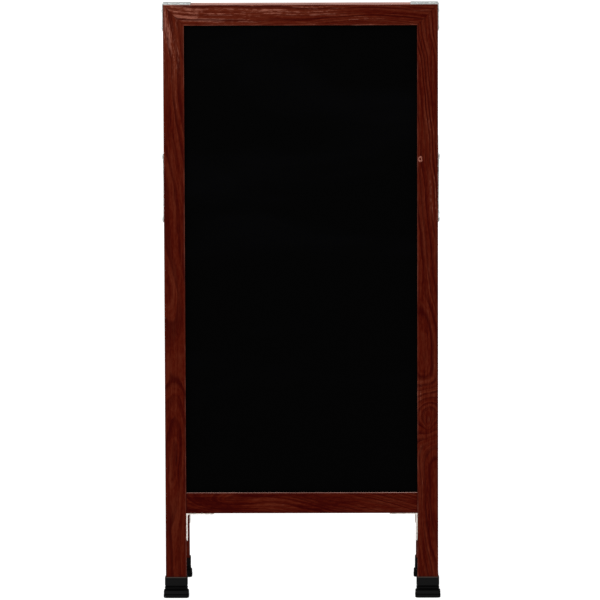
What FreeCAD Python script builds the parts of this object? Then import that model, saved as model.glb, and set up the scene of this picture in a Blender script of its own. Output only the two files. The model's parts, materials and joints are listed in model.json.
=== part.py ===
import FreeCAD, Part
import math
import os
import re

import Sketcher
from FreeCAD import Placement, Rotation, Vector

# A free-standing chalkboard: two equal wooden frames hinged along their top edges, which stand as an A.
# Each frame is drawn upright in its own coordinates: X across, -Y outwards from the hinge plane, Z up, with
# the hinge axis along X through the origin, level with the top of the wood. The front frame is then tilted
# about that axis, and the rear frame is the same frame turned half round about Z.
# Lengths are millimetres. The floor is z = 0, and the origin is at the middle of the footprint.

DIMENSIONS = {
    # Frames
    "rest_tilt": 4,  # degrees between each frame and the vertical
    "frame_setback": 3.6,  # from the hinge plane to a frame's inner face
    "frame_width": 500,
    "member_width": 38,
    "member_thickness": 19,
    "stile_length": 1076,
    "rail_drop": 893,  # from the top of the wood to the top of the bottom rail
    "rail_inset": 0.5,  # the bottom rail is thinner than the stiles by this on each face
    "outer_rounding": 2.2,
    "inner_rounding": 0.8,
    # Panel in its groove
    "groove_depth": 7,
    "groove_width": 6.2,
    "groove_offset": 6.9,  # from a frame's inner face to the groove
    "groove_play": 0.5,  # left free round the panel's edges
    "sheet_thickness": 3,
    # Hidden joinery
    "spline_centre": 21,  # from the outer corner along either edge to the middle of the spline
    "spline_length": 20,
    "spline_width": 12,
    "spline_thickness": 3,
    "dowel_radius": 3.5,
    "dowel_length": 30,
    "upper_dowel_drop": 14,
    "lower_dowel_drop": 29,
    "fit_gap": 0.05,
    # Hinges
    "barrel_radius": 3,
    "pin_radius": 1.6,
    "pin_overhang": 0.6,
    "pin_chamfer": 0.4,
    "knuckle_gap": 0.3,
    "leaf_length": 51,
    "leaf_width": 16,
    "leaf_thickness": 1.6,
    "leaf_offset": 1.5,  # from a frame's inner face to the edge of the bent part of the leaf
    "leaf_bend": 2,
    "tab_length": 48,
    "tab_corner": 3.2,
    "tab_thickness": 1.4,
    "inner_leaf_screw": 44,  # from the frame's outer side to each screw in the top of the leaf
    "outer_leaf_screw": 28,
    "upper_tab_screw": 11.8,
    "lower_tab_screw": 42,
    # Screws
    "screw_radius": 1.6,
    "screw_head_radius": 3.2,
    "screw_length": 12,
    "dome_height": 1.3,
    "tab_screw_head_radius": 3.6,
    # Corner braces below the bottom rail
    "brace_arm": 50.8,
    "brace_width": 16,
    "brace_thickness": 2,
    "brace_bend": 4,
    "brace_corner": 4,
    "brace_near_screw": 20,
    "brace_far_screw": 41,
    # Folding braces
    "link_pivot_drop": 391,
    "link_length": 117,
    "link_tail": 34,  # what the front link reaches past the knee
    "link_half_width": 5.5,
    "link_thickness": 1.2,
    "link_gap": 0.3,
    "pivot_radius": 2,
    "pivot_depth": 16,
    "pivot_head_radius": 4.5,
    "pivot_play": 0.2,  # between a link and the head of its shoulder screw
    # Rubber boots
    "boot_wall": 1.9,
    "boot_height": 38,
    "boot_floor": 10,
    "foot_overhang": 4.4,
    "foot_height": 13,
    "foot_rounding": 5,
    "foot_edge_rounding": 1.2,
    "upper_boot_groove": 16,  # from the boot's rim to the top of each groove round its sleeve
    "lower_boot_groove": 21.2,
    "boot_groove_height": 2.4,
    "boot_groove_depth": 0.7,
    # How far the solids that cut the others reach past them
    "overcut": 2,
}

doc = FreeCAD.newDocument("ChalkboardEasel")
sheet = doc.addObject("Spreadsheet::Sheet", "Dimensions")
for row, (alias, number) in enumerate(DIMENSIONS.items(), start=1):
    sheet.set(f"A{row}", alias)
    sheet.set(f"B{row}", str(number))
    sheet.setAlias(f"B{row}", alias)
doc.recompute()


# ---------------------------------------------------------------- helpers
def formula(text):
    """A formula in the sheet's aliases, written the way the expression engine wants it."""
    return re.sub(r"[a-z_]+", lambda word: "Dimensions." + word.group(0), str(text))


def value(text):
    """What a formula in the sheet's aliases comes to."""
    return float(sheet.evalExpression(formula(text)))


def bind(target, **properties):
    """Ties properties of an object to formulas; a double underscore stands for the dot in a path."""
    for name, text in properties.items():
        target.setExpression(name.replace("__", "."), formula(text))
    return target


def new_body(label):
    body = doc.addObject("PartDesign::Body", label)
    body.Label = label
    return body


def new_sketch(body, role, lift="0"):
    """An empty sketch on one of the body's own origin planes, lifted along the plane's normal."""
    sketch = body.newObject("Sketcher::SketchObject", body.Label + "_sketch")
    plane = next(f for f in body.Origin.OriginFeatures if f.Role == role)
    sketch.AttachmentSupport = [(plane, "")]
    sketch.MapMode = "FlatFace"
    bind(sketch, AttachmentOffset__Base__z=lift)
    return sketch


def dimension(sketch, kind, text, *where):
    """Adds a dimension to a sketch and ties it to a formula."""
    index = sketch.addConstraint(Sketcher.Constraint(kind, *where, value(text)))
    name = f"{kind}_{index}"
    sketch.renameConstraint(index, name)
    sketch.setExpression("Constraints." + name, formula(text))


def polygon(sketch, corners):
    """A closed outline whose corners are given as pairs of formulas."""
    points = [Vector(value(across), value(up), 0) for across, up in corners]
    first = sketch.GeometryCount
    lines = [first + i for i in range(len(points))]
    following = lines[1:] + lines[:1]
    for start, end in zip(points, points[1:] + points[:1]):
        sketch.addGeometry(Part.LineSegment(start, end))
    for line, after in zip(lines, following):
        sketch.addConstraint(Sketcher.Constraint("Coincident", line, 2, after, 1))
    for line, (across, up) in zip(lines, corners):
        dimension(sketch, "DistanceX", across, -1, 1, line, 1)
        dimension(sketch, "DistanceY", up, -1, 1, line, 1)
    return sketch


def circle(sketch, across, up, radius):
    centre = Vector(value(across), value(up), 0)
    index = sketch.addGeometry(Part.Circle(centre, Vector(0, 0, 1), value(radius)))
    dimension(sketch, "Radius", radius, index)
    dimension(sketch, "DistanceX", across, -1, 1, index, 3)
    dimension(sketch, "DistanceY", up, -1, 1, index, 3)
    return sketch


def rectangle(sketch, left, right, low, high):
    return polygon(sketch, [(left, low), (right, low), (right, high), (left, high)])


def pad(body, sketch, length, outwards=True):
    feature = body.newObject("PartDesign::Pad", body.Label + "_pad")
    feature.Profile = sketch
    feature.Reversed = not outwards
    bind(feature, Length=length)
    doc.recompute()
    return feature


def round_edges(body, radius, wanted):
    """Fillets the edges of the body's tip that satisfy wanted(edge)."""
    tip = body.Tip
    names = [f"Edge{i}" for i, edge in enumerate(tip.Shape.Edges, start=1) if wanted(edge)]
    if not names:
        raise RuntimeError(f"{body.Label} has no such edges to round")
    fillet = body.newObject("PartDesign::Fillet", body.Label + "_rounding")
    fillet.Base = (tip, names)
    bind(fillet, Radius=radius)
    doc.recompute()
    return fillet


def is_straight(edge, direction):
    """True for a straight edge along a direction."""
    along = edge.Vertexes[-1].Point - edge.Vertexes[0].Point
    return edge.Curve.TypeId == "Part::GeomLine" and along.Length > 0 and along.cross(direction).Length < 1e-4


def near(number, target):
    return abs(number - target) < 1e-3


def cylinder(radius, length, centre, direction, name="cylinder"):
    """A plain round solid from its end's centre along a direction."""
    solid = doc.addObject("Part::Cylinder", name)
    bind(solid, Radius=radius, Height=length)
    turn = Rotation(Vector(0, 0, 1), direction)
    solid.Placement = Placement(Vector(*[value(x) for x in centre]), turn)
    for axis, text in zip("xyz", centre):
        solid.setExpression(f"Placement.Base.{axis}", formula(text))
    return solid


def group(label, solids):
    """Several separate solids kept together as one sub-part."""
    compound = doc.addObject("Part::Compound", label)
    compound.Label = label
    compound.Links = solids
    return compound


def fuse(label, solids):
    joined = doc.addObject("Part::MultiFuse", label)
    joined.Shapes = solids
    joined.Refine = True
    return joined


def cut(base, tools, label):
    """The base with every tool taken away."""
    result = doc.addObject("Part::Cut", label)
    result.Base = base
    result.Tool = tools[0] if len(tools) == 1 else fuse(label + "_tools", tools)
    result.Label = label
    return result


# ---------------------------------------------------------------- places that several sub-parts share
X, Y, Z = Vector(1, 0, 0), Vector(0, 1, 0), Vector(0, 0, 1)
HALF = "(frame_width / 2)"
INNER_EDGE = "(frame_width / 2 - member_width)"
GROOVE_EDGE = "(frame_width / 2 - member_width + groove_depth)"
MIDDLE = "(-frame_setback - member_thickness / 2)"  # y of the middle of the wood
SOLE_DROP = "(stile_length + boot_floor)"
RAIL_BOTTOM = "(rail_drop + member_width)"
COUNTERSINK = "(screw_head_radius - screw_radius)"
SCREW_HOLE = "(screw_radius + fit_gap)"
PIVOT_HOLE = "(pivot_radius + fit_gap)"
KNUCKLES = 5  # in one hinge, shared between its two leaves

tilt = math.radians(value("rest_tilt"))
hinge_height = value(SOLE_DROP) * math.cos(tilt) + value(MIDDLE) * math.sin(tilt)

front_place = Placement(Vector(0, 0, hinge_height), Rotation(X, -value("rest_tilt")))
rear_place = Placement(Vector(), Rotation(Z, 180)) * front_place

# Seen along the hinge axis, a link's pivot is pivot_reach from the axis and pivot_lead degrees off the
# frame's line. The knee stays in the hinge plane, which gives the lean of the link at rest.
pivot_reach = math.hypot(value("link_pivot_drop"), value(MIDDLE))
pivot_lead = math.degrees(math.atan2(-value(MIDDLE), value("link_pivot_drop")))
half_spread = pivot_reach * math.sin(math.radians(value("rest_tilt") + pivot_lead))
link_lean = math.degrees(math.asin(half_spread / value("link_length")))
link_swing = link_lean - value("rest_tilt")  # from the frame's line to the link, at rest

sub_parts = []


def place(part, placement):
    part.Placement = placement
    sub_parts.append(part)
    return part


# ---------------------------------------------------------------- wood
def screw_places(side):
    """Where screws enter the wood on one side: (x, z, direction into the wood), all at mid thickness."""
    leaf, tab = ("inner_leaf_screw", "outer_leaf_screw"), ("upper_tab_screw", "lower_tab_screw")
    brace = ("brace_near_screw", "brace_far_screw")
    return {
        "top": [(f"{side} * ({HALF} - {distance})", "0", -Z) for distance in leaf],
        "tab": [(f"{side} * {HALF}", f"-{drop}", X * -side) for drop in tab],
        "leg": [(f"{side} * {INNER_EDGE}", f"-({RAIL_BOTTOM} + {distance})", X * side) for distance in brace],
        "rail": [(f"{side} * ({INNER_EDGE} - {distance})", f"-{RAIL_BOTTOM}", Z) for distance in brace],
    }


def screw_hole(across, up, direction):
    return cylinder(SCREW_HOLE, "screw_length + overcut", (across, MIDDLE, up), direction, "screw_hole")


def dowel(side, drop, gap="0"):
    start = f"{side} * {INNER_EDGE} - (dowel_length / 2 + {gap})"
    centre = (start, MIDDLE, f"-(rail_drop + {drop})")
    return cylinder(f"dowel_radius + {gap}", f"dowel_length + 2 * {gap}", centre, X, "dowel")


def spline(side, gap="0"):
    """A thin key lying across the mitre, square to it."""
    key = doc.addObject("Part::Box", "spline")
    size = {"Length": "spline_length", "Width": "spline_width", "Height": "spline_thickness"}
    for name, text in size.items():
        key.setExpression(name, formula(f"{text} + 2 * {gap}"))
    half = Vector(*[value(text) / 2 + value(gap) for text in size.values()])
    centre = Vector(side * value(f"{HALF} - spline_centre"), value(MIDDLE), -value("spline_centre"))
    turn = Rotation(Y, -45 * side) * Rotation(X, 90)
    key.Placement = Placement(centre - turn.multVec(half), turn)
    return key


def groove(left, right, low, high):
    """The slot for the panel, as a solid to be cut away."""
    slot = doc.addObject("Part::Box", "groove")
    bind(slot, Length=f"{right} - ({left})", Width="groove_width", Height=f"{high} - ({low})")
    bind(slot, Placement__Base__x=left, Placement__Base__z=low)
    bind(slot, Placement__Base__y="-frame_setback - groove_offset - groove_width")
    return slot


def board(label, corners, rounded_outer, rounded_inner, inset="0"):
    """A length of wood from its outline seen from the front, with its long edges rounded.
    Its faces lie behind those of a full member by inset."""
    body = new_body(label)
    sketch = polygon(new_sketch(body, "XZ_Plane", f"frame_setback + {inset}"), corners)
    pad(body, sketch, f"member_thickness - 2 * {inset}")
    round_edges(body, "outer_rounding", rounded_outer)
    if rounded_inner:
        round_edges(body, "inner_rounding", rounded_inner)
    return body


def stile(label, side, place_at):
    """A mitred upright whose lower end is the leg."""
    outer, inner = f"{side} * {HALF}", f"{side} * {INNER_EDGE}"
    corners = [(outer, "0"), (outer, "-stile_length"), (inner, "-stile_length"), (inner, "-member_width")]
    wood = board(
        label + "_wood",
        corners,
        lambda e: is_straight(e, Z) and near(e.CenterOfMass.x, value(outer)),
        lambda e: is_straight(e, Z) and near(e.CenterOfMass.x, value(inner)),
    )
    places = screw_places(side)
    holes = [screw_hole(*spot) for spot in places["tab"] + places["leg"]]
    holes += [dowel(side, drop, "fit_gap") for drop in ("upper_dowel_drop", "lower_dowel_drop")]
    holes.append(spline(side, "fit_gap"))
    low, high = "-(rail_drop + groove_depth)", "-(member_width - groove_depth)"
    edges = sorted([f"{side} * {INNER_EDGE}", f"{side} * {GROOVE_EDGE}"], key=value)
    holes.append(groove(*edges, low, high))
    holes.append(cylinder("pivot_radius", "pivot_depth", (outer, MIDDLE, "-link_pivot_drop"), X * -side))
    return place(cut(wood, holes, label), place_at)


def top_rail(label, place_at):
    """The mitred rail that joins the stiles along the top."""
    inner = "-member_width"
    outline = [(f"-{HALF}", "0"), (HALF, "0"), (INNER_EDGE, inner), (f"-{INNER_EDGE}", inner)]
    wood = board(
        label + "_wood",
        outline,
        lambda e: is_straight(e, X) and near(e.CenterOfMass.z, 0),
        lambda e: is_straight(e, X) and near(e.CenterOfMass.z, -value("member_width")),
    )
    spots = [spot for side in (-1, 1) for kind in ("top", "tab") for spot in screw_places(side)[kind]]
    holes = [screw_hole(*spot) for spot in spots if spot[1] != "-lower_tab_screw"]
    holes += [spline(side, "fit_gap") for side in (-1, 1)]
    holes.append(groove(f"-{GROOVE_EDGE}", GROOVE_EDGE, inner, "-(member_width - groove_depth)"))
    return place(cut(wood, holes, label), place_at)


def bottom_rail(label, place_at):
    """The slightly thinner rail butted between the stiles."""
    low, high = f"-{RAIL_BOTTOM}", "-rail_drop"
    outline = [(f"-{INNER_EDGE}", low), (INNER_EDGE, low), (INNER_EDGE, high), (f"-{INNER_EDGE}", high)]
    wood = board(
        label + "_wood",
        outline,
        lambda e: is_straight(e, X) and near(e.CenterOfMass.z, -value(RAIL_BOTTOM)),
        lambda e: is_straight(e, X) and near(e.CenterOfMass.z, -value("rail_drop")),
        "rail_inset",
    )
    holes = [screw_hole(*spot) for side in (-1, 1) for spot in screw_places(side)["rail"]]
    drops = ("upper_dowel_drop", "lower_dowel_drop")
    holes += [dowel(side, drop, "fit_gap") for side in (-1, 1) for drop in drops]
    holes.append(groove(f"-{INNER_EDGE}", INNER_EDGE, "-(rail_drop + groove_depth)", high))
    return place(cut(wood, holes, label), place_at)


def panel(label, layer, place_at):
    """One of the two sheets in the groove; layer 0 is the backing and 1 the writing sheet."""
    sheet_box = doc.addObject("Part::Box", label)
    margin = "(groove_depth - groove_play)"
    bind(
        sheet_box,
        Length=f"2 * ({INNER_EDGE} + {margin})",
        Width="sheet_thickness",
        Height=f"rail_drop - member_width + 2 * {margin}",
    )
    play = "(groove_width / 2 - sheet_thickness)"
    depth = value(f"frame_setback + groove_offset + {play} + {layer + 1} * sheet_thickness")
    corner = Vector(-value(f"{INNER_EDGE} + {margin}"), -depth, -value(f"rail_drop + {margin}"))
    return place(sheet_box, place_at * Placement(corner, Rotation()))


# ---------------------------------------------------------------- screws, pins and rivets
def countersunk_screw(across, up, direction, plate):
    """A flat-headed screw whose head is flush with a plate lying on the wood."""
    start = (f"{across} - ({direction.x} * {plate})", MIDDLE, f"{up} - ({direction.z} * {plate})")
    head = doc.addObject("Part::Cone", "screw_head")
    bind(head, Radius1="screw_head_radius", Radius2="screw_radius", Height=COUNTERSINK)
    head.Placement = Placement(Vector(*[value(x) for x in start]), Rotation(Z, direction))
    shank = cylinder("screw_radius", f"screw_length + {plate}", start, direction, "screw_shank")
    return fuse("screw", [head, shank])


def domed_head(radius, base, direction, height="dome_height"):
    """The cap of a ball, radius wide and height high, standing on base."""
    wide, high = value(radius), value(height)
    ball = (wide**2 + high**2) / (2 * high)
    cap = doc.addObject("Part::Sphere", "dome")
    cap.setExpression("Radius", formula(f"({radius} ^ 2 + {height} ^ 2) / (2 * {height})"))
    cap.Angle1 = math.degrees(math.asin((ball - high) / ball))
    centre = Vector(*base) - direction * (ball - high)
    cap.Placement = Placement(centre, Rotation(Z, direction))
    return cap


def dome_screw(across, up, direction, lift, head_radius, shank_radius, depth):
    """A round-headed screw that points into the wood, with its head lifted off it."""
    start = (f"{across} - {direction.x} * ({lift})", MIDDLE, f"{up} - {direction.z} * ({lift})")
    shank = cylinder(shank_radius, f"{depth} + {lift}", start, direction, "screw_shank")
    head = domed_head(head_radius, [value(x) for x in start], -direction)
    return fuse("screw", [head, shank])


def hinge_screws(label, place_at):
    solids = []
    for side in (-1, 1):
        places = screw_places(side)
        solids += [countersunk_screw(*spot, "leaf_thickness") for spot in places["top"]]
        sizes = ("tab_thickness", "tab_screw_head_radius", "screw_radius", "screw_length")
        solids += [dome_screw(*spot, *sizes) for spot in places["tab"]]
    return place(group(label, solids), place_at)


def corner_brace_screws(label, place_at):
    spots = [spot for side in (-1, 1) for kind in ("leg", "rail") for spot in screw_places(side)[kind]]
    return place(group(label, [countersunk_screw(*spot, "brace_thickness") for spot in spots]), place_at)


def dowels(label, place_at):
    solids = [dowel(side, drop) for side in (-1, 1) for drop in ("upper_dowel_drop", "lower_dowel_drop")]
    return place(group(label, solids), place_at)


def splines(label, place_at):
    return place(group(label, [spline(side) for side in (-1, 1)]), place_at)


# ---------------------------------------------------------------- zinc plates
def plate_holes(spots, plate):
    """Countersunk holes for its screws through a plate of that thickness which lies on the wood."""
    holes = []
    for across, up, direction in spots:
        start = (f"{across} - ({direction.x} * {plate})", MIDDLE, f"{up} - ({direction.z} * {plate})")
        sink = doc.addObject("Part::Cone", "countersink")
        bind(sink, Radius1="screw_head_radius + fit_gap", Radius2=SCREW_HOLE, Height=COUNTERSINK)
        sink.Placement = Placement(Vector(*[value(x) for x in start]), Rotation(Z, direction))
        holes += [sink, cylinder(SCREW_HOLE, f"{plate} + overcut", start, direction, "plate_hole")]
    return holes


def corner_brace(label, side, place_at):
    """A bent strip in the corner between the leg and the underside of the bottom rail."""
    corner_x, corner_z = f"{side} * {INNER_EDGE}", f"-{RAIL_BOTTOM}"
    far_x = f"{side} * ({INNER_EDGE} - brace_arm)"
    near_x = f"{side} * ({INNER_EDGE} - brace_thickness)"
    outline = [
        (corner_x, corner_z),
        (corner_x, f"{corner_z} - brace_arm"),
        (near_x, f"{corner_z} - brace_arm"),
        (near_x, f"{corner_z} - brace_thickness"),
        (far_x, f"{corner_z} - brace_thickness"),
        (far_x, corner_z),
    ]
    body = new_body(label + "_strip")
    sketch = polygon(new_sketch(body, "XZ_Plane", f"-({MIDDLE}) - brace_width / 2"), outline)
    pad(body, sketch, "brace_width")
    bend_x, bend_z = value(near_x), value(f"{corner_z} - brace_thickness")
    round_edges(
        body,
        "brace_bend",
        lambda e: is_straight(e, Y) and near(e.CenterOfMass.x, bend_x) and near(e.CenterOfMass.z, bend_z),
    )
    ends = (value(far_x), value(f"{corner_z} - brace_arm"))
    round_edges(
        body,
        "brace_corner",
        lambda e: near(e.Length, value("brace_thickness"))
        and (near(e.CenterOfMass.x, ends[0]) or near(e.CenterOfMass.z, ends[1])),
    )
    places = screw_places(side)
    strip = cut(body, plate_holes(places["leg"] + places["rail"], "brace_thickness"), label)
    return place(strip, place_at)


def hinge_start(side):
    """Where a hinge's knuckles start along the axis, at their lower X."""
    return f"({HALF} + tab_thickness - leaf_length)" if side > 0 else f"(-{HALF} - tab_thickness)"


def knuckle(start, end):
    """One rolled knuckle of a hinge between two places along the axis, and its web to the leaf."""
    length = f"({end}) - ({start})"
    barrel = cylinder("barrel_radius", length, (start, "0", "0"), X, "barrel")
    web = doc.addObject("Part::Box", "knuckle_web")
    bind(web, Length=length, Width="frame_setback + leaf_offset + overcut", Height="leaf_thickness")
    bind(web, Placement__Base__x=start, Placement__Base__y="-frame_setback - leaf_offset - overcut")
    return [barrel, web]


def hinge_leaf(label, side, knuckles, bore, place_at):
    """A leaf on top of the frame, bent down its outer side, with some of the hinge's knuckles."""
    outer, inner = f"{side} * {HALF}", f"{side} * ({HALF} + tab_thickness - leaf_length)"
    outside = f"{side} * ({HALF} + tab_thickness)"
    outline = [
        (inner, "0"),
        (inner, "leaf_thickness"),
        (outside, "leaf_thickness"),
        (outside, "-tab_length"),
        (outer, "-tab_length"),
        (outer, "0"),
    ]
    body = new_body(label + "_plate")
    sketch = polygon(new_sketch(body, "XZ_Plane", "frame_setback + leaf_offset"), outline)
    pad(body, sketch, "leaf_width")
    bend = (value(outside), value("leaf_thickness"))
    round_edges(
        body,
        "leaf_bend",
        lambda e: is_straight(e, Y) and near(e.CenterOfMass.x, bend[0]) and near(e.CenterOfMass.z, bend[1]),
    )
    round_edges(
        body,
        "tab_corner",
        lambda e: near(e.Length, value("tab_thickness")) and near(e.CenterOfMass.z, -value("tab_length")),
    )
    low, pitch = hinge_start(side), f"(leaf_length / {KNUCKLES})"
    shapes = [body]
    edge = doc.addObject("Part::Box", "leaf_edge")
    bind(edge, Length="leaf_length - 2 * tab_thickness", Height="leaf_thickness")
    bind(edge, Width="frame_setback + leaf_offset - barrel_radius - knuckle_gap + overcut")
    bind(edge, Placement__Base__x=inner if side > 0 else f"-{HALF} + tab_thickness")
    bind(edge, Placement__Base__y="-frame_setback - leaf_offset - overcut")
    shapes.append(edge)
    for k in knuckles:
        start = f"{low} + {k} * {pitch} + knuckle_gap / 2"
        shapes += knuckle(start, f"{low} + {k + 1} * {pitch} - knuckle_gap / 2")
    places = screw_places(side)
    holes = plate_holes(places["top"], "leaf_thickness")
    for across, up, direction in places["tab"]:
        start = (f"{across} - ({direction.x} * tab_thickness)", MIDDLE, up)
        holes.append(cylinder(SCREW_HOLE, "tab_thickness + overcut", start, direction, "tab_hole"))
    holes.append(cylinder(bore, "leaf_length + 2 * overcut", (f"{low} - overcut", "0", "0"), X, "pin_bore"))
    return place(cut(fuse(label + "_blank", shapes), holes, label), place_at)


def hinge_pin(label, side):
    """The pin through both leaves' knuckles, held by the front leaf, with chamfered ends."""
    start = (f"{hinge_start(side)} - pin_overhang", "0", "0")
    pin = cylinder("pin_radius", "leaf_length + 2 * pin_overhang", start, X, label + "_blank")
    doc.recompute()
    ends = [i for i, edge in enumerate(pin.Shape.Edges, start=1) if edge.Closed]
    crowned = doc.addObject("Part::Chamfer", label)
    crowned.Base = pin
    crowned.Edges = [(i, value("pin_chamfer"), value("pin_chamfer")) for i in ends]
    return place(crowned, front_place)


# ---------------------------------------------------------------- folding braces
def link(label, side, layer, tail):
    """A flat link drawn upright from its pivot at the origin, in one of two layers beside the frame."""
    body = new_body(label)
    lift = f"link_gap + {layer} * (link_thickness + link_gap)"
    sketch = new_sketch(body, "YZ_Plane", f"{HALF} + {lift}" if side > 0 else f"-{HALF} - ({lift})")
    reach = f"(link_length + {tail})"
    half, top = value("link_half_width"), value(reach)
    sketch.addGeometry(Part.LineSegment(Vector(-half, 0, 0), Vector(-half, top, 0)))
    sketch.addGeometry(Part.ArcOfCircle(Part.Circle(Vector(0, top, 0), Z, half), 0, math.pi))
    sketch.addGeometry(Part.LineSegment(Vector(half, top, 0), Vector(half, 0, 0)))
    sketch.addGeometry(Part.ArcOfCircle(Part.Circle(Vector(0, 0, 0), Z, half), math.pi, 2 * math.pi))
    for first, first_end, second, second_end in ((0, 2, 1, 2), (1, 1, 2, 1), (2, 2, 3, 2), (3, 1, 0, 1)):
        sketch.addConstraint(Sketcher.Constraint("Tangent", first, first_end, second, second_end))
    sketch.addConstraint(Sketcher.Constraint("Coincident", 3, 3, -1, 1))
    sketch.addConstraint(Sketcher.Constraint("Vertical", 0))
    dimension(sketch, "DistanceX", "0", -1, 1, 1, 3)
    dimension(sketch, "DistanceY", reach, -1, 1, 1, 3)
    dimension(sketch, "Radius", "link_half_width", 1)
    circle(sketch, "0", "0", PIVOT_HOLE)
    circle(sketch, "0", "link_length", PIVOT_HOLE)
    pad(body, sketch, "link_thickness", outwards=side > 0)
    return body


def link_place(frame_place):
    """Where an upright link goes on a frame: its pivot on the stile, leaning over to the knee."""
    pivot = Vector(0, value(MIDDLE), -value("link_pivot_drop"))
    return frame_place * Placement(pivot, Rotation(X, -link_swing))


def layer_lift(layer):
    """From the frame's side to the outer face of a link in that layer."""
    return f"({layer + 1} * (link_gap + link_thickness))"


def knee_rivet(label, side):
    """Rides in the rear link and stops short of the front link. Drawn in the upright link's coordinates."""
    outer = f"{side} * ({HALF} + {layer_lift(1)})"
    centre = (outer, "0", "link_length")
    shank = cylinder("pivot_radius", "link_thickness", centre, X * -side, "rivet_shank")
    head = domed_head("pivot_head_radius", [value(outer), 0, value("link_length")], X * side)
    return fuse(label, [head, shank])


def link_pivots(label, layer, place_at):
    """Shoulder screws into both stiles, whose heads clear the links by the running gap."""
    lift = f"({layer_lift(layer)} + pivot_play)"
    sizes = (lift, "pivot_head_radius", "pivot_radius", "pivot_depth")
    solids = [dome_screw(f"{side} * {HALF}", "-link_pivot_drop", X * -side, *sizes) for side in (-1, 1)]
    return place(group(label, solids), place_at)


def link_spacers(label, place_at):
    """Washers that hold the rear links clear of the front links."""
    solids = []
    for side in (-1, 1):
        start = (f"{side} * {HALF}", MIDDLE, "-link_pivot_drop")
        ring = cylinder("link_half_width", "link_thickness + link_gap", start, X * side, "washer")
        bore = cylinder(PIVOT_HOLE, "link_thickness + link_gap", start, X * side, "washer_bore")
        solids.append(cut(ring, [bore], "spacer"))
    return place(group(label, solids), place_at)


# ---------------------------------------------------------------- rubber boots
def boot_block(side, overhang, low, high, rounding):
    """An upright block round the leg with rounded corners, standing out from the wood by overhang."""
    body = new_body("boot_block")
    sketch = new_sketch(body, "XY_Plane", low)
    left = f"{side} * {HALF} - {(side + 1) // 2} * member_width - ({overhang})"
    rectangle(
        sketch,
        left,
        f"{left} + member_width + 2 * ({overhang})",
        f"-frame_setback - member_thickness - ({overhang})",
        f"-frame_setback + ({overhang})",
    )
    pad(body, sketch, f"{high} - ({low})")
    round_edges(body, rounding, lambda e: is_straight(e, Z))
    return body


def boot_groove(side, drop):
    """What is cut away for one groove round the sleeve, from its drop below the rim."""
    high = f"(boot_height - {SOLE_DROP} - {drop})"
    low = f"({high} - boot_groove_height)"
    outside = boot_block(side, "boot_wall + overcut", low, high, "boot_wall")
    inside = boot_block(side, "boot_wall - boot_groove_depth", low, high, "boot_wall / 2")
    return cut(outside, [inside], "boot_groove")


def leg_pocket(side):
    """The space that the end of the leg fills."""
    space = doc.addObject("Part::Box", "leg_pocket")
    bind(space, Length="member_width", Width="member_thickness", Height="boot_height")
    bind(space, Placement__Base__x=f"{side} * {HALF} - {(side + 1) // 2} * member_width")
    bind(space, Placement__Base__y="-frame_setback - member_thickness", Placement__Base__z="-stile_length")
    return space


def ground(side):
    """The floor under one leg; level in the world, so tilted the other way in the frame's coordinates."""
    slab = doc.addObject("Part::Box", "ground")
    bind(slab, Length="3 * member_width", Width="3 * member_width", Height="boot_floor")
    middle = Vector(-1.5 * value("member_width"), -1.5 * value("member_width"), -value("boot_floor"))
    centre = Vector(side * value(f"{HALF} - member_width / 2"), value(MIDDLE), -value(SOLE_DROP))
    slab.Placement = Placement(centre, front_place.Rotation.inverted()) * Placement(middle, Rotation())
    return slab


def boot(label, side, place_at):
    """A rubber boot pushed over the end of the leg, with its sole cut level with the floor."""
    rim, foot_top = f"(boot_height - {SOLE_DROP})", f"(foot_height - {SOLE_DROP})"
    bottom = f"(-{SOLE_DROP} - overcut)"
    sleeve = boot_block(side, "boot_wall", bottom, rim, "boot_wall")
    foot = boot_block(side, "foot_overhang", bottom, foot_top, "foot_rounding")
    top_edge = value(foot_top)
    round_edges(
        foot,
        "foot_edge_rounding",
        lambda e: near(e.BoundBox.ZMin, top_edge) and near(e.BoundBox.ZLength, 0),
    )
    blank = fuse(label + "_blank", [sleeve, foot])
    grooves = [boot_groove(side, drop) for drop in ("upper_boot_groove", "lower_boot_groove")]
    return place(cut(blank, [*grooves, leg_pocket(side), ground(side)], label), place_at)


# ---------------------------------------------------------------- assembly
def frame(end, place_at, turned, knuckles, bore):
    """Every piece of one frame. The rear frame is turned half round, so its left and right swap."""
    for side in (-1, 1):
        hand = "right" if side * turned > 0 else "left"
        stile(f"{end}_{hand}_stile", side, place_at)
        corner_brace(f"{end}_{hand}_corner_brace", side, place_at)
        hinge_leaf(f"{end}_{hand}_hinge_leaf", side, knuckles, bore, place_at)
        boot(f"{end}_{hand}_boot", side, place_at)
    top_rail(f"{end}_top_rail", place_at)
    bottom_rail(f"{end}_bottom_rail", place_at)
    panel(f"{end}_backing_panel", 0, place_at)
    panel(f"{end}_writing_panel", 1, place_at)
    splines(f"{end}_mitre_splines", place_at)
    dowels(f"{end}_rail_dowels", place_at)
    hinge_screws(f"{end}_hinge_screws", place_at)
    corner_brace_screws(f"{end}_corner_brace_screws", place_at)


frame("front", front_place, 1, (0, 2, 4), "pin_radius")
frame("rear", rear_place, -1, (1, 3), "pin_radius + fit_gap")
link_pivots("front_link_pivots", 0, front_place)
link_pivots("rear_link_pivots", 1, rear_place)
link_spacers("rear_link_spacers", rear_place)
for side, hand in ((-1, "left"), (1, "right")):
    hinge_pin(f"{hand}_hinge_pin", side)
    place(link(f"{hand}_front_link", side, 0, "link_tail"), link_place(front_place))
    place(link(f"{hand}_rear_link", -side, 1, "0"), link_place(rear_place))
    place(knee_rivet(f"{hand}_knee_rivet", -side), link_place(rear_place))

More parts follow.
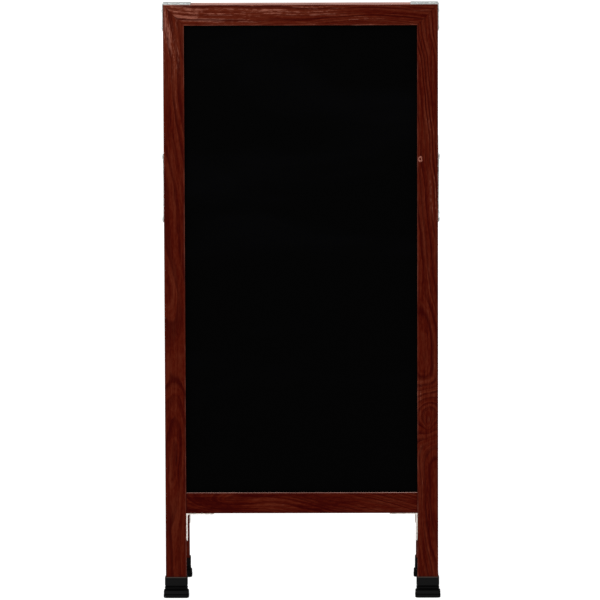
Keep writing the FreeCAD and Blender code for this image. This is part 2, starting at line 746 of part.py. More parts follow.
# ---------------------------------------------------------------- checks and export
doc.recompute()
for item in doc.Objects:
    if {"Invalid", "Error"} & set(item.State):
        raise RuntimeError(f"{item.Name} failed: {item.State}")
for part in sub_parts:
    if part.Shape.isNull() or not part.Shape.isValid() or part.Shape.Volume <= 0:
        raise RuntimeError(f"{part.Label} has no valid solid")

os.makedirs("parts", exist_ok=True)
for part in sub_parts:
    part.Shape.exportStep(f"parts/{part.Label}.step")
print(f"{len(sub_parts)} sub-parts; hinge axis {hinge_height:.3f} mm above the floor")
print(f"links lean {link_lean:.3f} degrees at rest, {link_swing:.3f} from the frame's line")
pivot = link_place(front_place).Base
print(f"front link pivot at y {pivot.y:.3f}, z {pivot.z:.3f}")
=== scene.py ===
import json
import math

import bmesh
import bpy
from mathutils import Matrix, Vector


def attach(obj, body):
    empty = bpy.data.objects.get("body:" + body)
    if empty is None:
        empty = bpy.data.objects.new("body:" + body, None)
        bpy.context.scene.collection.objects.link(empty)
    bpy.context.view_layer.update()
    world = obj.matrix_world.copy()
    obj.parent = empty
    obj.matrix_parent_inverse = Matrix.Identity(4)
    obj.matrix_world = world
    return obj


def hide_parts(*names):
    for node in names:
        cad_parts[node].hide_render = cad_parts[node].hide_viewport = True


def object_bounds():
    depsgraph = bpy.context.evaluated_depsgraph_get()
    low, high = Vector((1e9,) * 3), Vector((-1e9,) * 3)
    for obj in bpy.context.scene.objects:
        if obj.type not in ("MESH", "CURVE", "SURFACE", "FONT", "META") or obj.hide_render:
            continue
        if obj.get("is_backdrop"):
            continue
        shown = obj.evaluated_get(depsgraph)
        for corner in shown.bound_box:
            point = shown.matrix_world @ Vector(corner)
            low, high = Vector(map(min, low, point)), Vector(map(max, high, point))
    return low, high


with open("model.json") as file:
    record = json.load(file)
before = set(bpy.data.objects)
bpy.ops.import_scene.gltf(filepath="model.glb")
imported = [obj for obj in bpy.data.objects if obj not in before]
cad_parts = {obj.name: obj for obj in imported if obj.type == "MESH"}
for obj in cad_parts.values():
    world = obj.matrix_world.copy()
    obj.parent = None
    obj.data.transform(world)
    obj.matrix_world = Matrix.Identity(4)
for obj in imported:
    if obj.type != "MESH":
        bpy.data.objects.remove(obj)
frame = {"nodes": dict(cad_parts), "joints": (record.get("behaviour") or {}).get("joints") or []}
cad_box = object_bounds()

# A chalkboard that stands as an A: two wooden frames hinged along their top edges. Lengths are metres.
# "Standing" coordinates are the scene's own, with the board at rest. "Upright" coordinates are those of one
# frame turned upright about the hinge line: X across, Z up from that line, which is level with the top of
# the wood, and -Y outwards. The rear frame is the front one turned half round.
MM = 0.001
REST_TILT = math.radians(4)  # between each frame and the vertical
MEMBER_WIDTH = 38 * MM
MEMBER_THICKNESS = 19 * MM
ENDS = ("front", "rear")
HANDS = ("left", "right")
HINGE = Vector(next(joint["pos_m"] for joint in frame["joints"] if joint["name"] == "frame_hinge"))


def srgb(red, green, blue):
    """A linear colour from its 0 to 255 display values."""
    return tuple((channel / 255 + 0.055) ** 2.4 / 1.055**2.4 for channel in (red, green, blue))


# ---------------------------------------------------------------- camera
CAMERA_TARGET = Vector((0, 0, 0.540))
CAMERA_DISTANCE = 8.099
CAMERA_AZIMUTH = math.radians(0.54)
CAMERA_ELEVATION = math.radians(8.82)
CAMERA_ROLL = math.radians(-0.206)
SENSOR_WIDTH = 36  # in mm, as is the lens
LENS = 264.2
CAMERA_SHIFT = (-0.0025, -0.0022)
CAMERA_SIGHT = 100  # metres


def add_camera():
    """A long lens from a little above the board's middle, held very slightly off level."""
    data = bpy.data.cameras.new("camera")
    data.sensor_width = SENSOR_WIDTH
    data.lens = LENS
    data.shift_x, data.shift_y = CAMERA_SHIFT
    data.clip_end = CAMERA_SIGHT
    camera = bpy.data.objects.new("camera", data)
    bpy.context.scene.collection.objects.link(camera)
    level, rise = math.cos(CAMERA_ELEVATION), math.sin(CAMERA_ELEVATION)
    back = Vector((math.sin(CAMERA_AZIMUTH) * level, -math.cos(CAMERA_AZIMUTH) * level, rise))
    aim = (-back).to_track_quat("-Z", "Y").to_matrix().to_4x4()
    place = Matrix.Translation(CAMERA_TARGET + back * CAMERA_DISTANCE)
    camera.matrix_world = place @ aim @ Matrix.Rotation(CAMERA_ROLL, 4, "Z")
    bpy.context.scene.camera = camera


# ---------------------------------------------------------------- node trees written as arithmetic
class Graph:
    """Adds nodes to a tree. A call makes a node and returns its output, which later calls can take in."""

    def __init__(self, tree):
        self.tree = tree

    def node(self, kind, inputs=(), **settings):
        """A node with its settings, and with its inputs given by name or by number."""
        node = self.tree.nodes.new(kind)
        for name, setting in settings.items():
            setattr(node, name, setting)
        for key, number in dict(inputs).items():
            self.put(node.inputs[key], number)
        return node

    def put(self, socket, number):
        """Links an output to a socket, or sets the socket to a number, place or colour."""
        if isinstance(number, bpy.types.NodeSocket):
            self.tree.links.new(number, socket)
        elif hasattr(number, "__len__") and socket.type == "RGBA":
            socket.default_value = (*number[:3], 1)
        else:
            socket.default_value = number

    def math(self, operation, *numbers):
        return self.node("ShaderNodeMath", enumerate(numbers), operation=operation).outputs[0]

    def times(self, first, second):
        return self.math("MULTIPLY", first, second)

    def line(self, number, slope, start):
        """The number times slope, plus start."""
        return self.math("MULTIPLY_ADD", number, slope, start)

    def vector(self, operation, *numbers):
        return self.node("ShaderNodeVectorMath", enumerate(numbers), operation=operation).outputs[0]

    def split(self, vector):
        return self.node("ShaderNodeSeparateXYZ", {0: vector}).outputs

    def join(self, *numbers):
        return self.node("ShaderNodeCombineXYZ", enumerate(numbers)).outputs[0]

    def noise(self, place, scale, seed, detail=2.0, roughness=0.5, distortion=0.0):
        """Noise from 0 to 1 with that many cells a metre along each axis."""
        scale = scale if hasattr(scale, "__len__") else (scale,) * 3
        spot = self.vector("MULTIPLY_ADD", place, scale, (seed, seed * 1.7, seed * 0.6))
        inputs = {"Vector": spot, "Scale": 1.0, "Detail": detail, "Roughness": roughness}
        return self.node("ShaderNodeTexNoise", {**inputs, "Distortion": distortion}).outputs["Fac"]

    def smooth(self, number, low, high, to_low=0.0, to_high=1.0):
        """Goes smoothly from to_low to to_high as the number goes from low to high."""
        inputs = {0: number, 1: low, 2: high, 3: to_low, 4: to_high}
        return self.node("ShaderNodeMapRange", inputs, interpolation_type="SMOOTHSTEP").outputs[0]

    def mix(self, share, first, second):
        """The first colour where share is 0 and the second where it is 1."""
        return self.node("ShaderNodeMix", {0: share, 6: first, 7: second}, data_type="RGBA").outputs[2]

    def ramp(self, number, stops):
        """A colour ramp through (place, colour) stops."""
        node = self.node("ShaderNodeValToRGB", {0: number})
        points = node.color_ramp.elements
        while len(points) < len(stops):
            points.new(0.5)  # anywhere, since the next loop places them all
        for point, (place, colour) in zip(points, stops):
            point.position, point.color = place, (*colour, 1)
        return node.outputs[0]


def new_material(name):
    """A material with an empty Principled surface, and the graph to feed it."""
    material = bpy.data.materials.new(name)
    material.use_nodes = True
    tree = material.node_tree
    graph = Graph(tree)
    surface = next(node for node in tree.nodes if node.type == "BSDF_PRINCIPLED")
    return material, graph, surface


def object_place(graph):
    """Where a point is, in metres in standing coordinates, whatever the pose."""
    return graph.node("ShaderNodeTexCoord").outputs["Object"]


def object_facing(graph):
    """The x, y and z of the direction a surface faces in, in the same coordinates."""
    return graph.split(graph.node("ShaderNodeTexCoord").outputs["Normal"])


def finish_surface(graph, surface, colour, roughness, height=None, depth=0.0, **sockets):
    """Feeds a surface; height is from 0 to 1 and stands for depth metres of relief."""
    graph.put(surface.inputs["Base Color"], colour)
    graph.put(surface.inputs["Roughness"], roughness)
    if height is not None:
        bump = graph.node("ShaderNodeBump", {"Height": height, "Distance": depth, "Strength": 1.0})
        graph.put(surface.inputs["Normal"], bump.outputs[0])
    for name, number in sockets.items():
        surface.inputs[name.replace("_", " ")].default_value = number


# ---------------------------------------------------------------- stained oak
STAIN_PORE = srgb(36, 1, 0)
STAIN_DARK = srgb(46, 2, 0)
STAIN_MIDDLE = srgb(66, 14, 4)
STAIN_LIGHT = srgb(82, 31, 17)
# The lightest stain tone, which is also the colour of the painted highlight along the edges.
STAIN_PALEST_AND_HIGHLIGHT = srgb(126, 74, 60)
STAIN_CHIPPED = srgb(138, 86, 72)
# The colour of the painted sheen on faces that look up.
STAIN_TOP_SHEEN = srgb(204, 160, 148)
STAIN_TONES = [(0.20, STAIN_DARK), (0.48, STAIN_MIDDLE), (0.84, STAIN_LIGHT), (1.0, STAIN_PALEST_AND_HIGHLIGHT)]

# How each length of wood was cut. The tree's pith lies beside it, pith metres (across, outwards), and drifts
# away by drift for each metre along. Rings are ring apart and waver by wave, and each swell (along, across,
# half length, half width, height) lifts them, which shows as nested ovals or a hump. pale gives painted light
# and shade in the stain at two places along: paler near the top, most on the left, as a painted sheen, and
# darker on the bottom rail, as painted shade. contrast gives how strongly the figure shows, and nicks where
# it has chipped.
# A stile is measured down from its top, and a rail from its middle.
CUTS = {
    "left_stile": {
        "pith": (-0.085, -0.034),
        "drift": (0.135, 0.0),
        "ring": 0.0105,
        "wave": 0.010,
        "seed": 3.1,
        "swells": [(0.815, 0.003, 0.140, 0.024, 0.036)],
        "pale": ((0.06, 0.26), (0.30, -0.02)),
        "contrast": 0.82,
        "nicks": [],
    },
    "right_stile": {
        "pith": (-0.080, -0.026),
        "drift": (0.112, 0.0),
        "ring": 0.0056,
        "wave": 0.010,
        "seed": 11.7,
        "swells": [(0.749, 0.002, 0.048, 0.034, 0.036), (0.766, 0.001, 0.014, 0.006, 0.006)],
        "pale": ((0.0, 0.12), (0.15, 0.10)),
        "contrast": 0.92,
        "nicks": [(0.2815, -0.0135)],
    },
    "top_rail": {
        "pith": (0.060, -0.020),
        "drift": (-0.030, 0.020),
        "ring": 0.0068,
        "wave": 0.010,
        "seed": 23.9,
        "swells": [(0.14, -0.030, 0.105, 0.032, 0.036)],
        "pale": ((-0.25, 0.26), (0.20, 0.13)),
        "contrast": 0.95,
        "nicks": [],
    },
    "bottom_rail": {
        "pith": (-0.070, -0.020),
        "drift": (-0.230, 0.0),
        "ring": 0.0060,
        "wave": 0.010,
        "seed": 37.3,
        "swells": [(-0.14, 0.002, 0.060, 0.017, 0.026)],
        "pale": ((-0.2, -0.08), (0.2, -0.08)),
        "contrast": 1.0,
        "nicks": [],
    },
}


def upright_from_standing(end):
    """Takes a point of the standing board to its frame's upright coordinates."""
    turned = Matrix.Rotation(math.pi if end == "rear" else 0, 4, "Z")
    return Matrix.Rotation(REST_TILT, 4, "X") @ turned @ Matrix.Translation(-HINGE)


def upright_box(end, name):
    """The lowest and highest corner of a CAD node in its frame's upright coordinates."""
    upright = upright_from_standing(end)
    points = [upright @ vertex.co for vertex in frame["nodes"][f"{end}_{name}"].data.vertices]
    return [Vector(pick(point[axis] for point in points) for axis in range(3)) for pick in (min, max)]


# How long each rail is, at its longest edge.
LENGTHS = {rail: upright_box("front", rail)[1].x * 2 for rail in ("top_rail", "bottom_rail")}


def member_axes(end, member):
    """Takes a standing point to (along the grain, across the face, outwards), from the wood's middle."""
    low, high = upright_box(end, member)
    middle = (low + high) / 2
    if "rail" in member:
        axes = Matrix(((1, 0, 0), (0, 0, 1), (0, -1, 0)))
    else:
        axes = Matrix(((0, 0, -1), (1, 0, 0), (0, -1, 0)))
        middle.z = 0  # a stile is measured down from its top
    return axes.to_4x4() @ Matrix.Translation(-middle) @ upright_from_standing(end)


def grain_place(graph, matrix):
    """Object coordinates turned by a rigid matrix."""
    inputs = {"Vector": object_place(graph)}
    inputs.update(Location=matrix.to_translation(), Rotation=matrix.to_euler())
    return graph.node("ShaderNodeMapping", inputs, vector_type="POINT").outputs[0]


def oval(graph, place, middle, halves):
    """A squared distance from a place on the face, which is 1 all round an oval of that half size."""
    parts = []
    for spot, start, half in zip(graph.split(place), middle, halves):
        parts.append(graph.times(graph.math("SUBTRACT", spot, start), 1 / half))
    far, wide = parts
    return graph.line(far, far, graph.times(wide, wide))


# Noise in the wood: (cells a metre along the grain, cells across it, seed, detail, roughness).
LAYERS = {
    "ripple": (22, 90, 13, 2, 0.5),
    "faded": (7, 60, 2, 2, 0.5),
    "streaks": (11, 240, 6, 2, 0.6),
    "flecks": (110, 360, 8, 2, 0.6),
    "fibre": (16, 800, 3, 3, 0.65),
    "cloud": (7, 30, 7, 2, 0.5),
    "dashes": (60, 1500, 9, 1, 0.5),
}
# How each layer lightens the stain: its value where it starts, its value in full, and its share of the tone.
TONE_SHARES = {
    "flow": (0.36, 0.64, 0.30),
    "streaks": (0.34, 0.66, 0.17),
    "flecks": (0.36, 0.64, 0.17),
    "cloud": (0.36, 0.64, 0.18),
    "fibre": (0.34, 0.66, 0.18),
}
REAR_SEED = 61  # added for the rear frame, so that its wood is not the front's again
PITH_CELLS = (7, 6, 6)  # a metre, in which the pith wanders
RIPPLE_RINGS = 0.35  # how many rings a ripple moves them by
UNEVEN_CELLS, UNEVEN_RINGS = 130, 1.3  # rings that lie closer together here and wider apart there
FLOW_CELLS, FLOW_STRETCH = 1.7, 2.0  # cells a ring, and the rings that a metre of length counts for


def wood_layer(graph, place, name, seed):
    """One of the layers above, from 0 to 1."""
    along, across, shift, detail, roughness = LAYERS[name]
    return graph.noise(place, (along, across, across), seed + shift, detail, roughness)


def ring_phase(graph, place, cut, ripple):
    """Counts growth rings outwards from a pith that wanders along the wood."""
    along, across, outwards = graph.split(place)
    shifts = []
    for axis, (start, drift, spot) in enumerate(zip(cut["pith"], cut["drift"], (across, outwards))):
        wander = graph.noise(place, PITH_CELLS, cut["seed"] + 5 * axis)
        wander = graph.line(wander, 2 * cut["wave"], -cut["wave"] - start)
        shifts.append(graph.math("ADD", spot, graph.line(along, -drift, wander)))
    squares = graph.line(shifts[0], shifts[0], graph.times(shifts[1], shifts[1]))
    radius = graph.math("SQRT", squares)
    for *middle, length, width, height in cut["swells"]:
        fall = oval(graph, place, middle, (length, width))
        swell = graph.math("EXPONENT", graph.times(fall, -1.0))
        radius = graph.line(swell, height, radius)
    uneven = graph.noise(graph.join(radius, 0.0, 0.0), UNEVEN_CELLS, cut["seed"] + 17, detail=1)
    counted = graph.line(ripple, RIPPLE_RINGS, graph.times(radius, 1 / cut["ring"]))
    return graph.line(uneven, UNEVEN_RINGS, counted)


def porous_bands(graph, phase, faded, seed):
    """From 0 to 1 in the band that starts each ring, which drinks the stain, not equally everywhere."""
    share = graph.math("FRACT", phase)
    band = graph.times(graph.smooth(share, 0, 0.14), graph.smooth(share, 0.16, 0.75, 1, 0))
    ring = graph.join(graph.math("FLOOR", phase), 0.0, 0.0)
    by_ring = graph.smooth(graph.noise(ring, 7.3, seed, detail=0), 0.3, 0.6, 0.5, 1.0)
    by_place = graph.smooth(faded, 0.32, 0.56, 0.4, 1)
    return graph.times(band, graph.times(by_ring, by_place))


def stain_tone(graph, along, cut, layers):
    """How light the stain is, from 0 to 1: painted light and shade along the wood, and every layer's share.
    """
    (near, near_painted_light), (far, far_painted_light) = cut["pale"]
    evened = (1 - cut["contrast"]) / 2
    # Painted light and shade along the member, from pale: a painted sheen where it is paler, painted shade
    # where darker.
    tone = graph.smooth(along, near, far, near_painted_light + evened, far_painted_light + evened)
    for name, (low, high, share) in TONE_SHARES.items():
        tone = graph.line(graph.smooth(layers[name], low, high), share * cut["contrast"], tone)
    return tone


# The painted highlight along the edges: how far from an edge it starts, and where it is full.
EDGE_HIGHLIGHT_START, EDGE_HIGHLIGHT_FULL = 2.6 * MM, 0.2 * MM  # from an edge


def painted_edge_highlight(graph, place):
    """From 0 to 1 along the long edges: a painted highlight where light catches their rounding, in uneven
    patches.
    """
    _, across, outwards = graph.split(place)
    near = []
    for spot, half in ((across, MEMBER_WIDTH / 2), (outwards, MEMBER_THICKNESS / 2)):
        near.append(graph.smooth(graph.math("ABSOLUTE", spot), half - EDGE_HIGHLIGHT_START, half - EDGE_HIGHLIGHT_FULL))
    patches = graph.smooth(graph.noise(place, (30, 160, 160), 51, detail=3), 0.38, 0.72)
    return graph.times(graph.times(*near), graph.line(patches, 0.75, 0.2))


# How far stain has pooled beside a joint, and how strongly.
RAIL_POOL = (2.4 * MM, 0.7)
MITRE_POOL = (1.3 * MM, 0.4)
JOINT_LINE = 0.3 * MM


def joint_stain(graph, place, member):
    """From 0 to 1 where stain has pooled: beside the mitres at the top, and at the bottom rail's ends."""
    along, across, _ = graph.split(place)
    reach, strength = RAIL_POOL if member == "bottom_rail" else MITRE_POOL
    if member == "bottom_rail":
        gap = graph.math("SUBTRACT", LENGTHS[member] / 2, graph.math("ABSOLUTE", along))
    elif member == "top_rail":
        mitre = graph.math("ADD", across, (LENGTHS[member] - MEMBER_WIDTH) / 2)
        gap = graph.math("SUBTRACT", mitre, graph.math("ABSOLUTE", along))
    else:
        outer = 1 if member == "left_stile" else -1
        gap = graph.math("SUBTRACT", graph.line(across, -outer, along), MEMBER_WIDTH / 2)
    return graph.smooth(graph.math("ABSOLUTE", gap), JOINT_LINE, reach, strength, 0)


def painted_top_sheen(graph):
    """From 0 to 1 on faces that look up: a painted sheen, the light their finish catches, painted in as a
    pale colour.
    """
    return graph.smooth(object_facing(graph)[2], 0.7, 0.97)


CHIP_HALVES = (5 * MM, 3.6 * MM)  # half a chip's length and width
CHIP_CELLS, CHIP_RAGGEDNESS = 420, 1.6


def chips(graph, place, nicks):
    """From 0 to 1 on the pale rim of each small chip in the finish of the outer face."""
    shown = 0.0
    ragged = graph.noise(place, CHIP_CELLS, 77)
    for nick in nicks:
        reach = graph.math("SQRT", oval(graph, place, nick, CHIP_HALVES))
        reach = graph.line(graph.math("SUBTRACT", ragged, 0.5), CHIP_RAGGEDNESS, reach)
        rim = graph.times(graph.smooth(reach, 0.25, 0.6), graph.smooth(reach, 0.8, 1.2, 1, 0))
        shown = graph.math("MAXIMUM", rim, shown)
    face = MEMBER_THICKNESS / 2
    on_face = graph.smooth(graph.split(place)[2], face - 0.8 * MM, face - 0.4 * MM)
    return graph.times(shown, on_face)


# How strongly the porous bands, the pores and the painted edge highlight show in the colour.
POROUS_SHARE, PORE_SHARE, EDGE_HIGHLIGHT_SHARE = 0.95, 0.6, 0.4
# What the pores, the porous bands and the fibre add to the relief, and how deep all of it is.
PORE_RELIEF, POROUS_RELIEF, FIBRE_RELIEF = -0.7, -0.25, 0.25
OAK_RELIEF = 0.12 * MM
LACQUER_ROUGHNESS, CLOUD_ROUGHNESS, PORE_ROUGHNESS = 0.66, 0.12, 0.14
LACQUER_SPECULAR = 0.006


def oak(end, member):
    """Dark cherry stain under satin lacquer on open-grained oak; the grain runs along the member."""
    cut = dict(CUTS[member])
    if end == "rear":
        cut["seed"] += REAR_SEED
    seed = cut["seed"]
    material, graph, surface = new_material(f"oak_{end}_{member}")
    place = grain_place(graph, member_axes(end, member))
    along = graph.split(place)[0]
    layers = {name: wood_layer(graph, place, name, seed) for name in LAYERS}
    phase = ring_phase(graph, place, cut, layers["ripple"])
    flow = graph.join(phase, graph.times(along, FLOW_STRETCH), 0.0)
    layers["flow"] = graph.noise(flow, FLOW_CELLS, seed + 4, detail=3, roughness=0.65)
    porous = porous_bands(graph, phase, layers["faded"], seed)
    pores = graph.times(graph.smooth(layers["dashes"], 0.52, 0.66), graph.line(porous, 0.7, 0.3))

    colour = graph.ramp(stain_tone(graph, along, cut, layers), STAIN_TONES)
    colour = graph.mix(graph.times(porous, POROUS_SHARE * cut["contrast"]), colour, STAIN_DARK)
    colour = graph.mix(graph.times(pores, PORE_SHARE), colour, STAIN_PORE)
    # Painted highlight along the rounded long edges.
    colour = graph.mix(graph.times(painted_edge_highlight(graph, place), EDGE_HIGHLIGHT_SHARE), colour, STAIN_PALEST_AND_HIGHLIGHT)
    colour = graph.mix(joint_stain(graph, place, member), colour, STAIN_PORE)
    colour = graph.mix(chips(graph, place, cut["nicks"]), colour, STAIN_CHIPPED)
    # Painted sheen: faces that look up are painted pale, as where they catch the light.
    top_sheen = graph.times(painted_top_sheen(graph), graph.smooth(layers["streaks"], 0.36, 0.66, 0.35, 0.85))
    colour = graph.mix(top_sheen, colour, STAIN_TOP_SHEEN)
    height = graph.line(pores, PORE_RELIEF, graph.times(layers["fibre"], FIBRE_RELIEF))
    height = graph.line(porous, POROUS_RELIEF, height)
    roughness = graph.line(layers["cloud"], CLOUD_ROUGHNESS, LACQUER_ROUGHNESS)
    roughness = graph.line(pores, PORE_ROUGHNESS, roughness)
    finish_surface(graph, surface, colour, roughness, height, OAK_RELIEF, Specular_IOR_Level=LACQUER_SPECULAR)
    return material


# ---------------------------------------------------------------- other materials
COAT_BLACK, COAT_HAZE = srgb(0, 0, 0), srgb(3, 3, 4)
COAT_SPECULAR = 0.006


def chalkboard():
    """A matt black writing coat, with the fine orange peel of a rolled finish and the haze of old wipes."""
    material, graph, surface = new_material("writing_coat")
    place = object_place(graph)
    wipes = graph.noise(place, (3, 1, 9), 5, detail=4, distortion=0.6)
    peel = graph.noise(place, 900, 9)
    colour = graph.mix(graph.smooth(wipes, 0.45, 0.8), COAT_BLACK, COAT_HAZE)
    roughness = graph.smooth(wipes, 0.3, 0.8, 0.72, 0.86)
    finish_surface(graph, surface, colour, roughness, peel, 0.05 * MM, Specular_IOR_Level=COAT_SPECULAR)
    return material


HARDBOARD_TONES = [(0.3, srgb(74, 48, 30)), (0.52, srgb(112, 78, 50)), (0.72, srgb(146, 108, 72))]
HARDBOARD_CLOUD = srgb(92, 62, 40)
BARE_WOOD_TONES = [(0.3, srgb(150, 112, 72)), (0.5, srgb(190, 152, 108)), (0.7, srgb(212, 180, 138))]
HIDDEN_SPECULAR = 0.3


def hardboard():
    """Pressed brown board, with fine fibres and clouds of a darker brown."""
    material, graph, surface = new_material("hardboard")
    place = object_place(graph)
    fibres = graph.noise(place, (260, 260, 420), 3, detail=5, roughness=0.7, distortion=1.5)
    cloud = graph.noise(place, 9, 8, detail=3)
    colour = graph.ramp(fibres, HARDBOARD_TONES)
    colour = graph.mix(graph.smooth(cloud, 0.35, 0.7, 0, 0.35), colour, HARDBOARD_CLOUD)
    finish_surface(graph, surface, colour, 0.72, fibres, 0.15 * MM, Specular_IOR_Level=HIDDEN_SPECULAR)
    return material


def bare_hardwood():
    """Pale unfinished wood of the splines and dowels."""
    material, graph, surface = new_material("bare_hardwood")
    fibre = graph.noise(object_place(graph), (60, 900, 900), 4, detail=4, roughness=0.6)
    colour = graph.ramp(fibre, BARE_WOOD_TONES)
    finish_surface(graph, surface, colour, 0.66, fibre, 0.08 * MM, Specular_IOR_Level=HIDDEN_SPECULAR)
    return material


ZINC_TONES = (srgb(166, 172, 171), srgb(206, 210, 208))  # dull and bright
LIT_BRACE_ZINC_TONES = (srgb(204, 196, 188), srgb(242, 234, 226))  # the corner braces': a brighter, warmer copy of the zinc, as a painted highlight
ZINC_MARK, ZINC_SCUFF = srgb(118, 119, 114), srgb(96, 94, 90)
ROLLED_CELLS = (2400, 2400, 40)  # a metre: fine streaks down a pressed plate
TURNED_CELLS = (700, 700, 700)


def zinc(name, brushed, tones):
    """Zinc plate on steel: fine brushing, cloudy plate with dull patches, and scuffs."""
    material, graph, surface = new_material(name)
    place = object_place(graph)
    cloud = graph.noise(place, 210, 2, detail=4, roughness=0.6)
    brush = graph.noise(place, brushed, 6, detail=3)
    marks = graph.smooth(graph.noise(place, 80, 14, detail=5, roughness=0.7), 0.50, 0.68)
    scuffs = graph.noise(place, (300, 300, 1400), 21, detail=3, distortion=1.2)
    scuffs = graph.smooth(scuffs, 0.56, 0.64)
    colour = graph.mix(graph.smooth(cloud, 0.34, 0.66), *tones)
    colour = graph.mix(graph.times(marks, 0.6), colour, ZINC_MARK)
    colour = graph.mix(graph.times(scuffs, 0.35), colour, ZINC_SCUFF)
    roughness = graph.line(brush, 0.16, graph.line(marks, 0.22, 0.24))
    height = graph.line(cloud, 0.4, graph.times(brush, 0.6))
    finish_surface(graph, surface, colour, roughness, height, 0.03 * MM, Metallic=1.0)
    return material


# Black rubber, the grey of the painted light on its proud bands, and the paler grey of its painted rim
# highlight.
RUBBER_BLACK, RUBBER_LIT = srgb(1, 1, 1), srgb(19, 19, 19)
RUBBER_SMEAR, RUBBER_RIM_HIGHLIGHT, RUBBER_DUST = srgb(20, 19, 18), srgb(72, 62, 56), srgb(60, 56, 50)
RUBBER_SPECULAR = 0.012
# Heights in mm between which a boot stands proud and is painted lighter as painted light, the grooves between
# left black as painted shade, and how much lighter.
PAINTED_LIT_BANDS = [(1.6, 5.8, 0.7), (7.2, 13.2, 1.0), (16.8, 19.2, 0.55), (22.2, 40.0, 0.9)]
BAND_BLUR = 0.4  # mm
RIM_HIGHLIGHT_HEIGHTS = (36.4 * MM, 37.4 * MM)  # heights where the painted rim highlight starts, and where it is full
DUSTY_SOLE = (0.5 * MM, 3 * MM)  # heights where the dust is full, and where it ends


def painted_lit_bands(graph, height, outside):
    """How much painted light the proud bands get, most of all on the side that faces away from the other
    frame.
    """
    lit_share = 0.0
    for low, high, share in PAINTED_LIT_BANDS:
        above = graph.smooth(height, (low - BAND_BLUR) * MM, (low + BAND_BLUR) * MM)
        below = graph.smooth(height, (high - BAND_BLUR) * MM, (high + BAND_BLUR) * MM, share, 0)
        lit_share = graph.math("MAXIMUM", graph.times(above, below), lit_share)
    return graph.times(lit_share, graph.line(outside, 0.65, 0.35))


def rubber():
    """Moulded black rubber: a fine spark-eroded skin, painted light on its proud bands and a painted
    highlight on its rim, dusty at the floor.
    """
    material, graph, surface = new_material("black_rubber")
    place = object_place(graph)
    _, depth, height = graph.split(place)
    skin = graph.noise(place, 1500, 3, detail=3, roughness=0.65)
    smears = graph.noise(place, (160, 160, 320), 12, detail=4, roughness=0.7)
    away = graph.times(object_facing(graph)[1], graph.math("SIGN", depth))
    outside = graph.smooth(away, 0.5, 0.8)
    # Painted light on the proud bands; the grooves between them stay black, as painted shade.
    colour = graph.mix(painted_lit_bands(graph, height, outside), RUBBER_BLACK, RUBBER_LIT)
    colour = graph.mix(graph.smooth(smears, 0.42, 0.72, 0, 0.3), colour, RUBBER_SMEAR)
    # Painted highlight round the top rim, on the outer side.
    rim_highlight = graph.times(graph.smooth(height, *RIM_HIGHLIGHT_HEIGHTS, 0, 0.6), outside)
    colour = graph.mix(rim_highlight, colour, RUBBER_RIM_HIGHLIGHT)
    dusty = graph.times(graph.smooth(height, *DUSTY_SOLE, 1, 0), graph.smooth(smears, 0.45, 0.6))
    colour = graph.mix(graph.times(dusty, 0.4), colour, RUBBER_DUST)
    roughness = graph.line(skin, 0.2, 0.5)
    finish_surface(graph, surface, colour, roughness, skin, 0.04 * MM, Specular_IOR_Level=RUBBER_SPECULAR)
    return material


def paint(node_name, material):
    """Gives a CAD node its material without touching its mesh."""
    node = frame["nodes"][node_name]
    for slot in node.material_slots:
        slot.link = "OBJECT"
        slot.material = material


# ---------------------------------------------------------------- turned and moulded pieces
SHARP = math.radians(32)  # where the surface turns by more, its edge is sharp


def new_piece(name, shape, material):
    """Turns a bmesh into a piece of the object, smooth except along its sharp edges."""
    bmesh.ops.recalc_face_normals(shape, faces=shape.faces)
    for face in shape.faces:
        face.smooth = True
    for edge in shape.edges:
        edge.smooth = not edge.is_manifold or edge.calc_face_angle() < SHARP
    mesh = bpy.data.meshes.new(name)
    shape.to_mesh(mesh)
    shape.free()
    mesh.materials.append(material)
    piece = bpy.data.objects.new(name, mesh)
    bpy.context.scene.collection.objects.link(piece)
    return piece


def loft(shape, rings):
    """Skins a list of rings, each the same number of points, and caps both ends."""
    rows = [[shape.verts.new(point) for point in ring] for ring in rings]
    for lower, upper in zip(rows, rows[1:]):
        for index in range(len(lower)):
            after = (index + 1) % len(lower)
            shape.faces.new((lower[index], lower[after], upper[after], upper[index]))
    shape.faces.new(rows[0])
    shape.faces.new(rows[-1])


# ---------------------------------------------------------------- rubber boots
CORNER_STEPS = 7
